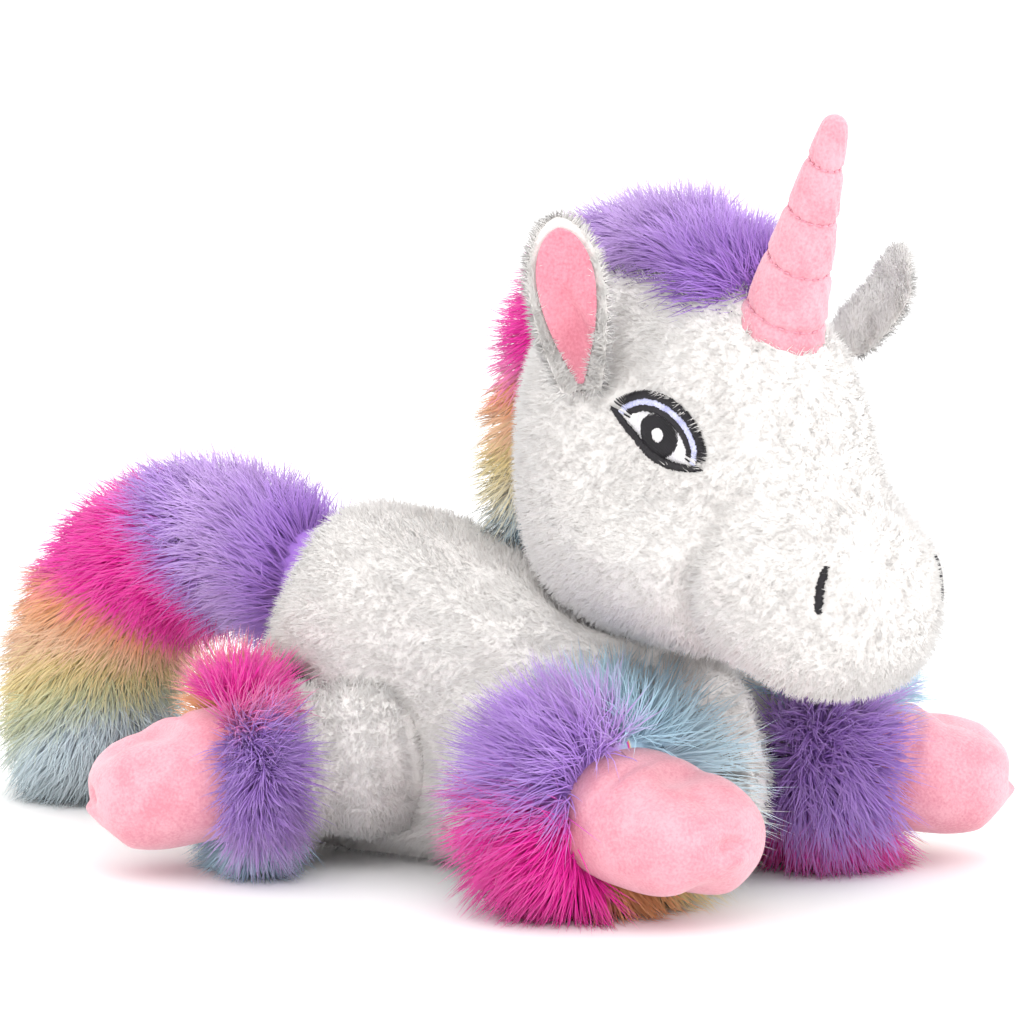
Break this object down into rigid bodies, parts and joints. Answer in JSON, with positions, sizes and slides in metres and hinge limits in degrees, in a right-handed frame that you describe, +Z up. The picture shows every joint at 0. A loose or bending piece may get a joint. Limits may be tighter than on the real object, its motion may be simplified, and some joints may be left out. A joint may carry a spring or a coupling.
{
  "type": "plush unicorn",
  "caption": "Lying plush unicorn of sewn white plush with a turning head, stuffed horn, floppy ears, rainbow long-pile mane, leg cuffs and tail, and pink hooves.",
  "frame": {"origin": "middle of the flat patch of belly that rests on the floor", "axes": "+Z up, -Y the way the body points, +X to the toy's own left"},
  "size_m": [0.2978, 0.5443, 0.3505],
  "materials": {
    "white_plush": "short-pile white plush, slightly warm",
    "fibre_filling": "white polyester fibre filling",
    "pink_minky": "short-nap pink minky",
    "rainbow_fur": "long-pile faux fur dyed in rainbow bands",
    "white_thread": "satin-stitched polyester thread",
    "pink_thread": "polyester sewing thread",
    "black_thread": "satin-stitched polyester thread"
  },
  "bodies": {
    "torso": {"body_side_left": "white_plush", "body_side_right": "white_plush", "rump_panel": "white_plush", "belly_panel": "white_plush", "body_filling": "fibre_filling"},
    "head": {"head_side_left": "white_plush", "head_side_right": "white_plush", "head_centre_panel": "white_plush", "muzzle_panel": "white_plush", "chin_panel": "white_plush", "head_filling": "fibre_filling", "horn_cover": "pink_minky", "horn_filling": "fibre_filling", "horn_stitching": "pink_thread", "mane": "rainbow_fur", "eye_outline_right": "black_thread", "eye_white_right": "white_thread", "eye_iris_right": "black_thread", "eye_outline_left": "black_thread", "eye_white_left": "white_thread", "eye_iris_left": "black_thread", "nostril_right": "black_thread", "nostril_left": "black_thread"},
    "ear_right": {"ear_back_right": "white_plush", "ear_lining_right": "pink_minky"},
    "ear_left": {"ear_back_left": "white_plush", "ear_lining_left": "pink_minky"},
    "tail": {"tail_fur": "rainbow_fur", "tail_filling": "fibre_filling"},
    "front_leg_right": {"front_leg_cover_right": "white_plush", "front_cuff_right": "rainbow_fur", "front_hoof_right": "pink_minky", "front_filling_right": "fibre_filling"},
    "front_leg_left": {"front_leg_cover_left": "white_plush", "front_cuff_left": "rainbow_fur", "front_hoof_left": "pink_minky", "front_filling_left": "fibre_filling"},
    "hind_leg_right": {"hind_leg_cover_right": "white_plush", "hind_cuff_right": "rainbow_fur", "hind_hoof_right": "pink_minky", "hind_filling_right": "fibre_filling"},
    "hind_leg_left": {"hind_leg_cover_left": "white_plush", "hind_cuff_left": "rainbow_fur", "hind_hoof_left": "pink_minky", "hind_filling_left": "fibre_filling"}
  },
  "joints": [
    {"name": "neck_turn", "type": "hinge", "parent": "torso", "child": "head", "pos_m": [0.006, -0.094, 0.1105], "axis": [0, 0, 1], "range_deg": [-18, 18], "stiffness_Nm_per_rad": 0.6},
    {"name": "ear_right_flop", "type": "hinge", "parent": "head", "child": "ear_right", "pos_m": [-0.06832, -0.09298, 0.229], "axis": [-0.309, -0.9511, 0], "range_deg": [-4, 25], "stiffness_Nm_per_rad": 0.03},
    {"name": "ear_left_flop", "type": "hinge", "parent": "head", "child": "ear_left", "pos_m": [0.06673, -0.13686, 0.229], "axis": [0.309, 0.9511, 0], "range_deg": [-20, 20], "stiffness_Nm_per_rad": 0.03},
    {"name": "front_leg_right_swing", "type": "hinge", "parent": "torso", "child": "front_leg_right", "pos_m": [-0.052, -0.058, 0.048], "axis": [0, 0, 1], "range_deg": [-20, 4], "stiffness_Nm_per_rad": 0.4},
    {"name": "front_leg_left_swing", "type": "hinge", "parent": "torso", "child": "front_leg_left", "pos_m": [0.062, -0.086, 0.048], "axis": [0, 0, 1], "range_deg": [-4, 20], "stiffness_Nm_per_rad": 0.4},
    {"name": "hind_leg_right_swing", "type": "hinge", "parent": "torso", "child": "hind_leg_right", "pos_m": [-0.048, 0.038, 0.052], "axis": [0, 0, 1], "range_deg": [-3, 15], "stiffness_Nm_per_rad": 0.4},
    {"name": "hind_leg_left_swing", "type": "hinge", "parent": "torso", "child": "hind_leg_left", "pos_m": [0.048, 0.038, 0.052], "axis": [0, 0, 1], "range_deg": [-15, 3], "stiffness_Nm_per_rad": 0.4},
    {"name": "tail_wag", "type": "hinge", "parent": "torso", "child": "tail", "pos_m": [0, 0.098, 0.112], "axis": [0, 0, 1], "range_deg": [-14, 14], "stiffness_Nm_per_rad": 0.4}
  ]
}
